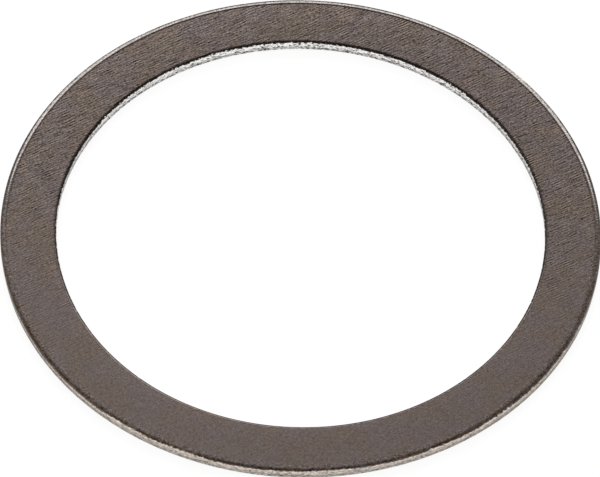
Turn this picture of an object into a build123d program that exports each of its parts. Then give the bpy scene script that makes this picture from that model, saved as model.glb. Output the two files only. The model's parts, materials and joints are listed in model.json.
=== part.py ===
from build123d import *
import os

# Shim ring: a flat spacing ring, punched in one stroke from cold-rolled steel strip.
#
# The frame stands at the centre of the bore, in the plane of the underside. +Z is the
# ring's axis and points out of the upper face. All sizes are in millimetres.
#
# Both edges carry the section that a punch and die leave, from the upper face down:
#   roll      the skin of the strip, drawn down in an arc that leaves the face smoothly
#   shoulder  the short round where the roll turns into the sheared wall
#   land      the bright cylinder that the tool sheared and burnished
#   break     the torn zone, which leans back from the land as far as the underside
#   foot      the last corner, tumbled until no burr stands proud

# Driving dimensions
bore_diameter = 42.1
ring_width = 4.85
thickness = 1.0

rim_roll_width = 0.56
rim_roll_depth = 0.14
rim_shoulder_radius = 0.12
bore_roll_width = 0.28
bore_roll_depth = 0.15
bore_shoulder_radius = 0.05

break_height = 0.40
break_lean = 0.05
foot_radius = 0.04

# Places that follow from them
bore_radius = bore_diameter / 2
rim_radius = bore_radius + ring_width
rim_shoulder = (rim_radius, thickness - rim_roll_depth)
bore_shoulder = (bore_radius, thickness - bore_roll_depth)

with BuildPart() as shim_ring:
    with BuildSketch(Plane.XZ) as section:
        with BuildLine():
            upper_face = Line(
                (bore_radius + bore_roll_width, thickness),
                (rim_radius - rim_roll_width, thickness),
            )
            rim_roll = TangentArc(upper_face @ 1, rim_shoulder, tangent=(1, 0))
            rim_land = Line(rim_roll @ 1, (rim_radius, break_height))
            rim_break = Line(rim_land @ 1, (rim_radius - break_lean, 0))
            underside = Line(rim_break @ 1, (bore_radius + break_lean, 0))
            bore_break = Line(underside @ 1, (bore_radius, break_height))
            Line(bore_break @ 1, bore_shoulder)
            TangentArc(upper_face @ 0, bore_shoulder, tangent=(-1, 0))
        make_face()
        fillet(section.vertices().sort_by_distance(rim_shoulder)[0], rim_shoulder_radius)
        fillet(section.vertices().sort_by_distance(bore_shoulder)[0], bore_shoulder_radius)
        fillet(section.vertices().group_by(Axis.Y)[0], foot_radius)
    revolve(axis=Axis.Z)

shim_ring.part.label = "shim_ring"

os.makedirs("parts", exist_ok=True)
export_step(shim_ring.part, "parts/shim_ring.step")
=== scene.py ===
import json
import math

import bpy
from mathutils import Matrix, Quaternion, Vector


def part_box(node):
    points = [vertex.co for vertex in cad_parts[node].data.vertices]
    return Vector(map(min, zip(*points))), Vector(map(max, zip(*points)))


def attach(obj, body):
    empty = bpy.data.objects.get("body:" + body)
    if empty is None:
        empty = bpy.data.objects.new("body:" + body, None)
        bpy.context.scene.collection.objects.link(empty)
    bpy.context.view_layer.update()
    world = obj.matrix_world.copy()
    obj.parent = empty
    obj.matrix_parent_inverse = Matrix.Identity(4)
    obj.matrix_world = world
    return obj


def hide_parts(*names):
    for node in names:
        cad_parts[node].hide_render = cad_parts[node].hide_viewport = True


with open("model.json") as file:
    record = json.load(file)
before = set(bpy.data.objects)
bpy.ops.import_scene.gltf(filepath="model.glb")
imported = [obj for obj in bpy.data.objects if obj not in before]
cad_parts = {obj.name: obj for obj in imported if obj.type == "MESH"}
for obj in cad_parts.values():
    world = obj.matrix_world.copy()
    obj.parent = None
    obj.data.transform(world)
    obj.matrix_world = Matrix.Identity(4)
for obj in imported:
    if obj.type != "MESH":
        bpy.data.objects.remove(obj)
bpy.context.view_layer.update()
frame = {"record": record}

# ---------------------------------------------------------------- sizes, in metres

MM = 0.001
mounts = {mount["name"]: mount for mount in frame["record"]["mounts"]}
ring_low, ring_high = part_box("shim_ring")

bore_radius = mounts["bore"]["dims"]["r_mm"] * MM
rim_radius = mounts["rim"]["dims"]["r_mm"] * MM
underside = ring_low.z
upper_face = ring_high.z
rim_land_middle = mounts["rim"]["pos_m"][2]
rim_land_half = mounts["rim"]["dims"]["length_mm"] * MM / 2
bore_land_middle = mounts["bore"]["pos_m"][2]
bore_land_half = mounts["bore"]["dims"]["length_mm"] * MM / 2
land_foot = rim_land_middle - rim_land_half
rim_land_top = rim_land_middle + rim_land_half
bore_land_top = bore_land_middle + bore_land_half

# The rolled upper edges, the lean of the torn zone and the tumbled corners.
rim_roll_width = 0.56 * MM
rim_roll_depth = 0.14 * MM
rim_shoulder_radius = 0.12 * MM
bore_roll_width = 0.28 * MM
bore_roll_depth = 0.15 * MM
bore_shoulder_radius = 0.05 * MM
break_lean = 0.05 * MM
foot_radius = 0.04 * MM

# The tears below the land, and how fast they deepen from the zone's ends to its middle.
tear_size = 0.22 * MM
tear_depth = 0.05 * MM
tear_gain = 2.5

# How finely the ring is divided round its axis and round its section.
ring_steps = 1200
roll_steps = 10
shoulder_steps = 5
land_steps = 5
break_steps = 9
foot_steps = 4
flat_steps = 2
merge_distance = 0.001 * MM

# ---------------------------------------------------------------- the ring's section


def arc(centre, radius, start, end, steps):
    """Points along an arc in the section, from one angle to another, in degrees."""
    points = []
    for step in range(steps + 1):
        angle = math.radians(start + (end - start) * step / steps)
        points.append((centre[0] + radius * math.cos(angle), centre[1] + radius * math.sin(angle)))
    return points


def straight(start, end, steps):
    """Points along a straight stretch of the section, both ends included."""
    points = []
    for step in range(steps + 1):
        share = step / steps
        points.append(tuple(a + (b - a) * share for a, b in zip(start, end)))
    return points


def edge_section(roll_width, roll_depth, shoulder_radius):
    """One punched edge, from its foot up to the face, as (outward from the face's end, height).

    Outward is measured from where the roll leaves the flat face, so the sheared wall
    stands at roll_width.
    """
    roll_radius = (roll_width**2 + roll_depth**2) / (2 * roll_depth)
    roll_centre = (0, upper_face - roll_radius)
    reach = roll_radius - shoulder_radius
    across = roll_width - shoulder_radius
    shoulder_centre = (across, roll_centre[1] + math.sqrt(reach**2 - across**2))
    turn = math.degrees(math.acos(across / reach))

    lean = math.degrees(math.atan2(break_lean, land_foot - underside))
    foot_turn = 90 - lean
    foot_reach = foot_radius * math.tan(math.radians(foot_turn / 2))
    foot_centre = (roll_width - break_lean - foot_reach, underside + foot_radius)

    foot = arc(foot_centre, foot_radius, -90, -lean, foot_steps)
    torn = straight(foot[-1], (roll_width, land_foot), break_steps)
    land = straight(torn[-1], (roll_width, shoulder_centre[1]), land_steps)
    shoulder = arc(shoulder_centre, shoulder_radius, 0, turn, shoulder_steps)
    roll = arc(roll_centre, roll_radius, turn, 90, roll_steps)
    return foot + torn[1:] + land[1:] + shoulder[1:] + roll[1:]


def ring_section():
    """The whole section as (radius, height), once round from the bore's foot."""
    rim = edge_section(rim_roll_width, rim_roll_depth, rim_shoulder_radius)
    bore = edge_section(bore_roll_width, bore_roll_depth, bore_shoulder_radius)
    rim_edge = [(rim_radius - rim_roll_width + out, height) for out, height in rim]
    bore_edge = [(bore_radius + bore_roll_width - out, height) for out, height in bore]
    bore_edge.reverse()
    below = straight(bore_edge[-1], rim_edge[0], flat_steps)
    above = straight(rim_edge[-1], bore_edge[0], flat_steps)
    return below + rim_edge[1:] + above[1:] + bore_edge[1:]


# ---------------------------------------------------------------- modelling the ring


def deselect_all():
    bpy.ops.object.select_all(action="DESELECT")


def tear_lower_edges(ring):
    """The ragged steel below the sheared land, pressed inwards by up to a tear's depth."""
    torn_zone = ring.vertex_groups.new(name="torn_zone")
    middle = (land_foot + underside) / 2
    for vertex in ring.data.vertices:
        radius = math.hypot(vertex.co.x, vertex.co.y)
        on_edge = radius < bore_radius + break_lean or radius > rim_radius - break_lean
        depth = 1 - abs(vertex.co.z - middle) / (middle - underside)
        if on_edge and depth > 0:
            torn_zone.add([vertex.index], min(1.0, depth * tear_gain), "REPLACE")
    tears = bpy.data.textures.new("tears", "CLOUDS")
    tears.noise_scale = tear_size
    press = ring.modifiers.new("tears", "DISPLACE")
    press.texture = tears
    press.texture_coords = "LOCAL"
    press.mid_level = 1.0
    press.strength = tear_depth
    press.vertex_group = torn_zone.name
    bpy.ops.object.modifier_apply(modifier=press.name)


def punch_ring():
    """A circle drawn round the section, one short extrusion at a time, then closed."""
    section = ring_section()
    deselect_all()
    bpy.ops.mesh.primitive_circle_add(
        vertices=ring_steps, radius=section[0][0], location=(0, 0, section[0][1])
    )
    ring = bpy.context.active_object
    ring.name = "punched_ring"
    bpy.ops.object.transform_apply(location=True, rotation=True, scale=True)
    bpy.ops.object.mode_set(mode="EDIT")
    bpy.ops.mesh.select_all(action="SELECT")
    for (radius, height), (next_radius, next_height) in zip(section, section[1:]):
        rise = (0, 0, next_height - height)
        spread = next_radius / radius
        bpy.ops.mesh.extrude_region_move(TRANSFORM_OT_translate={"value": rise})
        bpy.ops.transform.resize(value=(spread, spread, 1), center_override=(0, 0, 0))
    bpy.ops.mesh.select_all(action="SELECT")
    bpy.ops.mesh.remove_doubles(threshold=merge_distance)
    bpy.ops.mesh.normals_make_consistent(inside=False)
    bpy.ops.object.mode_set(mode="OBJECT")
    tear_lower_edges(ring)
    bpy.ops.object.shade_smooth()
    return ring


# ---------------------------------------------------------------- shader maths


class Value:
    """A shader output that takes part in Python expressions by adding Math nodes."""

    def __init__(self, finish, socket):
        self.finish = finish
        self.socket = socket

    def maths(self, operation, first, second):
        return self.finish.node("ShaderNodeMath", {"operation": operation}, {0: first, 1: second})

    def __add__(self, other):
        return self.maths("ADD", self, other)

    def __radd__(self, other):
        return self.maths("ADD", other, self)

    def __sub__(self, other):
        return self.maths("SUBTRACT", self, other)

    def __rsub__(self, other):
        return self.maths("SUBTRACT", other, self)

    def __mul__(self, other):
        return self.maths("MULTIPLY", self, other)

    def __rmul__(self, other):
        return self.maths("MULTIPLY", other, self)


class Finish:
    """A node tree and the one method that adds a node to it."""

    def __init__(self, owner):
        owner.use_nodes = True
        self.tree = owner.node_tree
        self.tree.nodes.clear()

    def node(self, kind, settings, sockets, output=0):
        """Adds a node, makes its settings, then fills its sockets with values or links.

        A socket goes by its name, or by its number where several share a name.
        """
        made = self.tree.nodes.new(kind)
        for name, setting in settings.items():
            # A colour ramp's stops are positions with their colours.
            if name == "stops":
                ramp = made.color_ramp.elements
                while len(ramp) < len(setting):
                    ramp.new(1.0)
                for stop, (position, colour) in zip(ramp, setting):
                    stop.position = position
                    stop.color = (*colour, 1.0)
            else:
                setattr(made, name, setting)
        for name, given in sockets.items():
            socket = made.inputs[name]
            if isinstance(given, Value):
                self.tree.links.new(given.socket, socket)
            elif socket.type == "RGBA":
                socket.default_value = (*given, 1.0)
            else:
                socket.default_value = given
        return Value(self, made.outputs[output]) if made.outputs else None

    def noise(self, place, scale, detail=2.0, roughness=0.5):
        """Soft random patches around 0, each about 1 / scale across."""
        patches = self.node(
            "ShaderNodeTexNoise",
            {},
            {"Vector": place, "Scale": scale, "Detail": detail, "Roughness": roughness},
        )
        return patches - 0.5

    def hatching(self, place, scale, frequency):
        """Short straight strokes along X, around 0, each about 1 / scale long."""
        flat_turn = 4
        strokes = self.node(
            "ShaderNodeTexGabor",
            {"gabor_type": "2D"},
            {
                "Vector": place,
                "Scale": scale,
                "Frequency": frequency,
                "Anisotropy": 1.0,
                flat_turn: math.pi / 2,
            },
        )
        return strokes - 0.5

    def stretched(self, place, scale, turn=0.0):
        """The same place with its axes turned about Z and then scaled."""
        turned = self.node(
            "ShaderNodeVectorRotate",
            {"rotation_type": "Z_AXIS"},
            {"Vector": place, "Angle": turn},
        )
        return self.node("ShaderNodeVectorMath", {"operation": "MULTIPLY"}, {0: turned, 1: scale})

    def between(self, value, low, high, at_low=0.0, at_high=1.0):
        """A smooth step from at_low to at_high as value goes from low to high."""
        return self.node(
            "ShaderNodeMapRange",
            {"interpolation_type": "SMOOTHSTEP"},
            {
                "Value": value,
                "From Min": low,
                "From Max": high,
                "To Min": at_low,
                "To Max": at_high,
            },
        )

    def blend(self, share, first, second):
        """A colour mixed from two, share of the second."""
        first_colour = 6
        second_colour = 7
        mixed_colour = 2
        return self.node(
            "ShaderNodeMix",
            {"data_type": "RGBA"},
            {"Factor": share, first_colour: first, second_colour: second},
            output=mixed_colour,
        )

    def shaded(self, colour, level):
        """A colour made darker or lighter by a factor."""
        return self.node(
            "ShaderNodeVectorMath", {"operation": "SCALE"}, {0: colour, "Scale": level}
        )


# ---------------------------------------------------------------- the steel's finish, in mm

# The rolls ran along the grain, so their marks do too. A second set of strokes crosses the
# first at a slight angle, and the scratches lie a little the other way.
grain_angle = math.radians(30)
crossing_angle = grain_angle + 0.06
scratch_angle = grain_angle - 0.2

# How far the bright land reaches up over the rim's shoulder, and how much lower it starts at the
# ring's left and right ends, where the darker steel left above it is partly painted shade.
bright_rise = 0.06
end_shade_drop = 0.132

strip_grey = (0.161, 0.132, 0.124)
strip_brown = (0.162, 0.129, 0.111)
rust = (0.172, 0.126, 0.108)
rubbed_grey = (0.150, 0.142, 0.136)
# The brown of the near roll's stains and painted shade.
stain_and_shade_brown = (0.080, 0.052, 0.028)
bore_land_steel = (0.74, 0.71, 0.685)
rim_land_steel = (0.475, 0.418, 0.372)
bore_torn_steel = (0.435, 0.42, 0.405)
rim_torn_steel = (0.39, 0.36, 0.33)

# Below white, this darkens the steel where it is seen at a glancing angle.
glancing_tint = (0.5, 0.5, 0.5)

# The relief of the grain and the wall's marks, in metres.
relief_depth = 0.01 * MM


class RingPlace:
    """Where a point of the ring lies, in millimetres, and the marks that its finishes share."""

    def __init__(self, steel):
        here = steel.node("ShaderNodeTexCoord", {}, {}, output="Object")
        self.point = steel.node(
            "ShaderNodeVectorMath", {"operation": "SCALE"}, {0: here, "Scale": 1 / MM}
        )
        self.right = steel.node("ShaderNodeSeparateXYZ", {}, {"Vector": self.point}, output="X")
        self.back = steel.node("ShaderNodeSeparateXYZ", {}, {"Vector": self.point}, output="Y")
        self.height = steel.node("ShaderNodeSeparateXYZ", {}, {"Vector": self.point}, output="Z")

        # The far side, coming in slowly from the near edge, and then the two halves.
        self.far = steel.between(self.back, -22.0, 12.0)
        self.far_half = steel.between(self.back, -12.0, 14.0)
        self.near_half = 1.0 - self.far_half

        # How far in from the rim, from the bore, and from whichever of them is nearer.
        flat = steel.stretched(self.point, (1.0, 1.0, 0.0))
        radius = steel.node(
            "ShaderNodeVectorMath", {"operation": "LENGTH"}, {0: flat}, output="Value"
        )
        middle = (bore_radius + rim_radius) / 2 / MM
        self.at_rim = steel.between(radius, middle - 0.5, middle + 0.5)
        self.rim_inset = rim_radius / MM - radius
        self.bore_inset = radius - bore_radius / MM
        self.inset = self.bore_inset + (self.rim_inset - self.bore_inset) * self.at_rim

        # Random marks around 0. The drag marks and the chips lie along the edge.
        self.speckle = steel.noise(self.point, 8.0, detail=1.0)
        self.mottle = steel.noise(self.point, 4.2, detail=1.0)
        self.patch = steel.noise(self.point, 0.9)
        dragged = steel.stretched(self.point, (2.0, 2.0, 5.0))
        self.drag = steel.noise(dragged, 1.0, detail=3.0, roughness=0.7)
        chipped = steel.stretched(self.point, (3.5, 3.5, 9.0))
        self.chips = steel.noise(chipped, 1.0, detail=2.0, roughness=0.7)
        self.torn = steel.noise(self.point, 3.6, detail=3.0, roughness=0.7)

        # Height above the bright land's ragged upper border, which drifts along the edge.
        aside = self.right - 3.0
        # At the left and right ends the rim's land starts lower, partly as a painted shade.
        at_ends = steel.between(aside * aside, 280.0, 560.0)
        rim_rise = (rim_land_top - bore_land_top) / MM + bright_rise - end_shade_drop * at_ends
        drift = steel.noise(self.point, 0.3, detail=1.0) * (0.15 + 0.15 * self.at_rim)
        border = bore_land_top / MM + rim_rise * self.at_rim + drift + self.chips * 0.3
        self.above_land = self.height - border


def rolling_grain(steel, at):
    """The straight marks of the rolls, around 0, strong at the back and faint at the front, a fade
    that is partly painted sheen.
    """
    # Two sets of fine strokes that come and go in patches.
    along = steel.stretched(at.point, (1.0, 1.0, 1.0), turn=-grain_angle)
    crossing = steel.stretched(at.point, (0.8, 1.0, 1.0), turn=-crossing_angle)
    streaks = steel.hatching(along, scale=0.8, frequency=5.5)
    threads = steel.hatching(crossing, scale=1.1, frequency=3.5)
    hatched = (streaks + threads) * steel.between(at.patch, -0.15, 0.15, 0.5, 1.2)

    # Long brushed marks, and short flecks among them.
    long_marks = steel.stretched(at.point, (0.7, 8.0, 1.0), turn=-grain_angle)
    short_marks = steel.stretched(at.point, (4.0, 9.0, 1.0), turn=-grain_angle)
    brushed = steel.noise(long_marks, 1.0, detail=1.0)
    flecks = steel.noise(short_marks, 1.0, detail=0.0)
    # The grain fades towards the front: partly real, partly a painted sheen where the light catches
    # the grain at the back.
    clear = 0.11 + 0.89 * at.far
    return (hatched * 0.8 + brushed + flecks * 0.9) * clear


def strip_colour(steel, at, grain):
    """Grey-brown strip with brown clouds, rusty patches, its grain and a few long scratches."""
    clouds = steel.noise(at.point, 0.45, detail=1.0)
    rusty = steel.noise(at.point, 1.1, detail=1.0)
    skin = steel.blend(steel.between(clouds, -0.12, 0.12), strip_grey, strip_brown)
    skin = steel.blend(steel.between(rusty, 0.0, 0.3) * 0.6, skin, rust)

    # Fine speckle at the back gives way to a coarser mottle at the front.
    mottle = at.speckle * at.far + at.mottle * (1.0 - at.far) * 0.75
    skin = steel.shaded(skin, 1.0 + grain * 2.0 + mottle)

    # The scratches fade out towards the front, and a painted shade lightens the left a little and
    # darkens the right.
    aslant = steel.stretched(at.point, (0.35, 5.0, 1.0), turn=-scratch_angle)
    scratched = steel.between(steel.noise(aslant, 1.0, detail=0.0), 0.20, 0.26)
    left_right_shade = steel.between(at.right, -20.0, 20.0, 1.06, 0.97)
    return steel.shaded(skin, left_right_shade * (1.0 - 0.35 * scratched * at.far))


def rolled_edges(steel, at, skin):
    """The skin where the punch drew it over: painted shade along each edge's roll, and a rubbed
    rim.
    """
    uneven = (at.speckle + at.drag) * 0.2
    rim_line = at.rim_inset + uneven * 0.4

    # At the back, a painted shade lies in a line along the start of the rim's roll.
    rim_roll_shade = steel.between(rim_line, 0.62, 0.54) * steel.between(rim_line, 0.37, 0.43)
    rim_roll_shade = rim_roll_shade * at.far_half * steel.between(at.back, 8.0, 25.0, 0.45, 0.9)

    # A painted shade darkens the bore's roll all round, most of all at the back.
    bore_shade_level = steel.between(at.right, -10.0, 12.0, 0.62, 0.82)
    bore_roll_shade = steel.between(at.bore_inset + uneven, 0.38, 0.12)
    bore_roll_shade = bore_roll_shade * (bore_shade_level + (0.87 - bore_shade_level) * at.far_half)
    bore_roll_shade = bore_roll_shade * steel.between(at.right, 12.0, 21.0, 1.0, 0.8)
    # Both painted shades darken the skin.
    skin = steel.shaded(skin, (1.0 - rim_roll_shade) * (1.0 - bore_roll_shade))

    # Outside the painted shade line, the back of the rim is rubbed to a speckled grey.
    rubbed = steel.shaded(rubbed_grey, 1.0 + at.speckle * 3.0 + at.chips * 1.6)
    return steel.blend(steel.between(rim_line, 0.44, 0.36) * at.far_half * 0.8, skin, rubbed)


def marked_and_shaded_rim(steel, at, skin):
    """Brown stains with painted shade and pits along the near rim, and dark nicks over a painted
    shade along the far one.
    """
    # The stains, which also carry a painted shade of the near roll, are ragged and patchy. Towards
    # the right they reach further in, and fade.
    stain_and_shade_line = at.rim_inset + at.chips * 0.4
    rightwards = steel.between(at.right, 8.0, 21.0)
    reach = 0.28 + 0.34 * rightwards
    stain_and_shade_mask = steel.between(stain_and_shade_line, reach, reach - 0.12)
    stain_and_shade_mask = stain_and_shade_mask * steel.between(stain_and_shade_line, -0.08, 0.12) * (0.85 - 0.5 * rightwards)
    stain_and_shade_mask = stain_and_shade_mask * at.near_half * steel.between(at.patch, -0.1, 0.1, 0.4, 1.0)
    skin = steel.blend(stain_and_shade_mask, skin, stain_and_shade_brown)

    # Pits break up the whole of the near roll. Nicks break up the outermost steel of the far one,
    # over a painted shade that darkens that steel all along.
    pitted = steel.between(at.rim_inset, 0.75, 0.55) * at.near_half
    skin = steel.shaded(skin, 1.0 + pitted * (at.speckle * 2.1 + at.chips * 1.9))
    nicks_and_shade = steel.between(at.rim_inset, 0.30, 0.15) * at.far_half
    nicks_and_shade = nicks_and_shade * steel.between(at.chips, -0.02, 0.07, 0.15, 1.0)
    return steel.shaded(skin, 1.0 - 0.8 * nicks_and_shade)


def sheared_wall(steel, at, on_break):
    """The bright land with its drag marks, and the darker torn steel under it."""
    land = steel.blend(at.at_rim, bore_land_steel, rim_land_steel)
    torn = steel.blend(at.at_rim, bore_torn_steel, rim_torn_steel)
    wall = steel.blend(on_break, land, torn)

    # Chips break up the wall, the bore's most of all, and a painted highlight brightens the top of
    # the land.
    chipped = at.chips * (8.0 - 4.6 * at.at_rim)
    crest_highlight = steel.between(at.above_land, -0.22, -0.08)
    return steel.shaded(wall, 1.0 + at.drag * 1.6 + chipped + crest_highlight * 0.25)


def punched_strip_steel():
    """Cold-rolled strip: grey-brown skin with a straight grain, and bright sheared edges."""
    material = bpy.data.materials.new("punched_strip_steel")
    steel = Finish(material)
    at = RingPlace(steel)

    # The wall lies above the underside, below the land's border and close to an edge.
    break_top = land_foot / MM
    on_break = steel.between(at.height + at.torn * 0.6, break_top + 0.05, break_top - 0.05)
    on_wall = steel.between(at.height, 0.01, 0.03) * steel.between(at.above_land, 0.06, -0.02)
    on_wall = on_wall * steel.between(at.inset, 0.16, 0.10)

    grain = rolling_grain(steel, at)
    skin = strip_colour(steel, at, grain)
    skin = rolled_edges(steel, at, skin)
    skin = marked_and_shaded_rim(steel, at, skin)
    colour = steel.blend(on_wall, skin, sheared_wall(steel, at, on_break))

    # The rim's roll is smoother than the face, and the torn steel much rougher.
    roughness = 0.22 + at.speckle * 0.15
    roughness = roughness - steel.between(at.rim_inset, 0.56, 0.44) * 0.13
    roughness = roughness + on_wall * on_break * 0.3
    wall_relief = 0.4 + at.drag * 0.8 + on_break * (0.8 + at.torn * 1.6)
    relief = grain * 0.5 * (1 - on_wall) + on_wall * wall_relief
    normal = steel.node(
        "ShaderNodeBump", {}, {"Strength": 0.3, "Distance": relief_depth, "Height": relief}
    )
    shader = steel.node(
        "ShaderNodeBsdfPrincipled",
        {},
        {
            "Base Color": colour,
            "Metallic": 1.0,
            "Roughness": roughness,
            "Specular Tint": glancing_tint,
            "Normal": normal,
        },
    )
    steel.node("ShaderNodeOutputMaterial", {}, {"Surface": shader})
    return material


# ---------------------------------------------------------------- floor, light and camera

# The sheet returns a little of the room's light, and glows where it is seen, so it shows white.
sheet_width = 8.0
sheet_gap = 0.01 * MM
sheet_colour = (0.2, 0.2, 0.2)
sheet_glow = 0.855


def lay_floor():
    """A white sheet under the ring, which still takes its shadow."""
    deselect_all()
    bpy.ops.mesh.primitive_plane_add(size=sheet_width, location=(0, 0, underside - sheet_gap))
    floor = bpy.context.active_object
    floor.name = "white_sheet"
    material = bpy.data.materials.new("white_sheet")
    paper = Finish(material)
    seen = paper.node("ShaderNodeLightPath", {}, {}, output="Is Camera Ray")
    seen = seen + paper.node("ShaderNodeLightPath", {}, {}, output="Is Glossy Ray")
    seen = seen + paper.node("ShaderNodeLightPath", {}, {}, output="Is Transmission Ray")
    matt = paper.node("ShaderNodeBsdfDiffuse", {}, {"Color": sheet_colour})
    glow = paper.node("ShaderNodeEmission", {}, {"Color": (1, 1, 1), "Strength": seen * sheet_glow})
    both = paper.node("ShaderNodeAddShader", {}, {0: matt, 1: glow})
    paper.node("ShaderNodeOutputMaterial", {}, {"Surface": both})
    floor.data.materials.append(material)


def direction(azimuth, elevation):
    """A unit vector; azimuth 0 is straight behind the ring, turning to the right."""
    turn = math.radians(azimuth)
    rise = math.radians(elevation)
    level = math.cos(rise)
    return Vector((math.sin(turn) * level, math.cos(turn) * level, math.sin(rise)))


# The room's brightness by height above the horizon, in degrees.
room_levels = (
    (0, 1.00),
    (4, 0.90),
    (38, 0.82),
    (50, 0.93),
    (60, 0.91),
    (66, 0.82),
    (72, 0.72),
    (80, 0.56),
    (88, 0.42),
)

# Darker corners of the room, in degrees: where each one is, how far it reaches, how wide its
# core is, and the share of the light that the core keeps.
room_corners = (
    ((0, 46), 12, 4, 0.50),
    ((42, 54), 18, 6, 0.60),
    ((-48, 60), 18, 6, 0.65),
    ((68, 62), 20, 6, 0.70),
    ((-70, 50), 18, 6, 0.72),
    ((90, 45), 42, 15, 0.85),
    ((180, 76), 34, 8, 0.65),
)


def light_room():
    """A pale room that darkens towards its ceiling and in a few corners."""
    world = bpy.data.worlds.new("pale_room")
    bpy.context.scene.world = world
    room = Finish(world)
    way = room.node("ShaderNodeTexCoord", {}, {}, output="Generated")
    rise = room.node("ShaderNodeSeparateXYZ", {}, {"Vector": way}, output="Z")
    stops = [(math.sin(math.radians(height)), (level,) * 3) for height, level in room_levels]
    glow = room.node("ShaderNodeValToRGB", {"stops": stops}, {"Fac": rise})
    for corner, reach, core, kept in room_corners:
        near = room.node(
            "ShaderNodeVectorMath",
            {"operation": "DOT_PRODUCT"},
            {0: way, 1: direction(*corner)},
            output="Value",
        )
        outer = math.cos(math.radians(reach))
        inner = math.cos(math.radians(core))
        glow = room.shaded(glow, room.between(near, outer, inner, 1.0, kept))
    shader = room.node("ShaderNodeBackground", {}, {"Color": glow, "Strength": 1.0})
    room.node("ShaderNodeOutputWorld", {}, {"Surface": shader})


# The softbox stands straight behind the ring. Its half sizes are angles, in degrees.
softbox_elevation = 30
softbox_distance = 1.2
softbox_half_width = 24
softbox_half_height = 14
softbox_radiance = 3.15


def hang_softbox():
    """One wide soft light, low behind the ring."""
    lamp = bpy.data.lights.new("softbox", "AREA")
    lamp.shape = "RECTANGLE"
    lamp.size = 2 * softbox_distance * math.tan(math.radians(softbox_half_width))
    lamp.size_y = 2 * softbox_distance * math.tan(math.radians(softbox_half_height))
    lamp.energy = softbox_radiance * math.pi * lamp.size * lamp.size_y
    softbox = bpy.data.objects.new("softbox", lamp)
    bpy.context.scene.collection.objects.link(softbox)
    place = direction(0, softbox_elevation) * softbox_distance
    softbox.location = place
    softbox.rotation_mode = "QUATERNION"
    softbox.rotation_quaternion = (-place).to_track_quat("-Z", "Y")
    softbox.visible_camera = False


# The camera's elevation and roll in degrees, its lens and sensor in millimetres, and the rest
# in metres. It aims a little off the ring's centre, by aim_offset to the right and up.
camera_elevation = 51.77
camera_roll = 1.5
camera_distance = rim_radius * 60
nearest_seen = 0.1
furthest_seen = 20.0
focal_length = 1081.5
sensor_width = 36.0
aim_offset = Vector((-0.048 * MM, 0.107 * MM, 0))


def place_camera():
    """A very long lens, in front of the ring and above it, turned slightly."""
    lens = bpy.data.cameras.new("long_lens")
    lens.sensor_width = sensor_width
    lens.lens = focal_length
    lens.clip_start = nearest_seen
    lens.clip_end = furthest_seen
    camera = bpy.data.objects.new("camera", lens)
    bpy.context.scene.collection.objects.link(camera)
    camera.rotation_mode = "QUATERNION"
    view = direction(0, -camera_elevation)
    aim = view.to_track_quat("-Z", "Y") @ Quaternion((0, 0, 1), math.radians(camera_roll))
    camera.rotation_quaternion = aim
    camera.location = aim @ aim_offset - view * camera_distance
    bpy.context.scene.camera = camera


ring = punch_ring()
ring.data.materials.append(punched_strip_steel())
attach(ring, "root")
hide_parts("shim_ring")
lay_floor()
light_room()
hang_softbox()
place_camera()
bpy.context.scene.view_settings.view_transform = "Standard"
